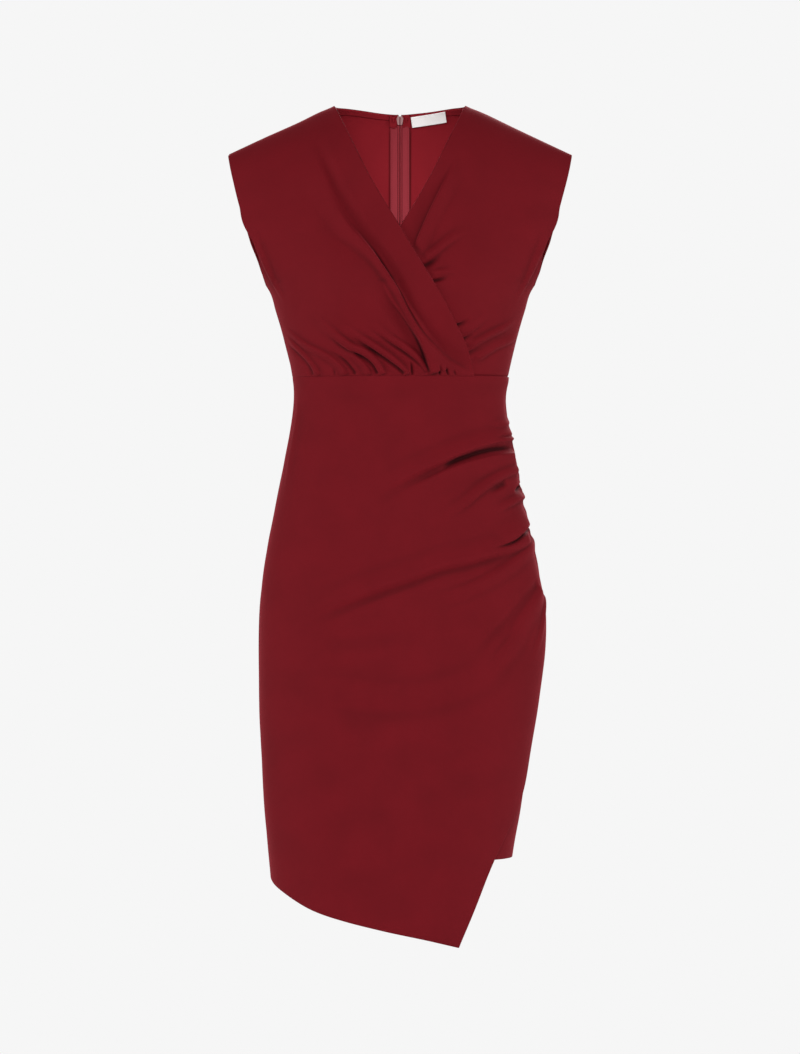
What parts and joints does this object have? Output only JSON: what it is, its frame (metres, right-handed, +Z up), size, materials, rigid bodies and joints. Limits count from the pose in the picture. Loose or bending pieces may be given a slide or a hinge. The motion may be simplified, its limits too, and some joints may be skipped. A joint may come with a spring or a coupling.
{
  "type": "sleeveless wrap dress",
  "caption": "Sleeveless knee-length wrap dress with a crossed V neck, a ruched side seam and a slanted overlay hem, filled out as worn.",
  "frame": {"origin": "midway between the inner ends of the shoulder seams, where the wearer's shoulders hold the dress up", "axes": "+Z up, the front faces -Y, +X to the wearer's left"},
  "size_m": [0.4306, 0.2695, 1.0446],
  "materials": {
    "crepe": "matte crepe with a soft sheen",
    "zip_tape": "woven tape",
    "label": "woven satin, blank",
    "zip_fittings": "painted, semi gloss"
  },
  "bodies": {
    "dress": {"bodice_front_right": "crepe", "bodice_front_left": "crepe", "bodice_back_left": "crepe", "bodice_back_right": "crepe", "skirt_front_over": "crepe", "skirt_front_under": "crepe", "skirt_back_left": "crepe", "skirt_back_right": "crepe", "back_neck_facing_left": "crepe", "back_neck_facing_right": "crepe", "zip_tape_left": "zip_tape", "zip_tape_right": "zip_tape", "neck_label": "label", "zip_slider": "zip_fittings"},
    "pull_tab": {"zip_pull_tab": "zip_fittings"}
  },
  "joints": [
    {"name": "tab_swing", "type": "hinge", "parent": "dress", "child": "pull_tab", "pos_m": [0, 0.07469, -0.00908], "axis": [1, 0, 0], "range_deg": [0, 150]}
  ]
}
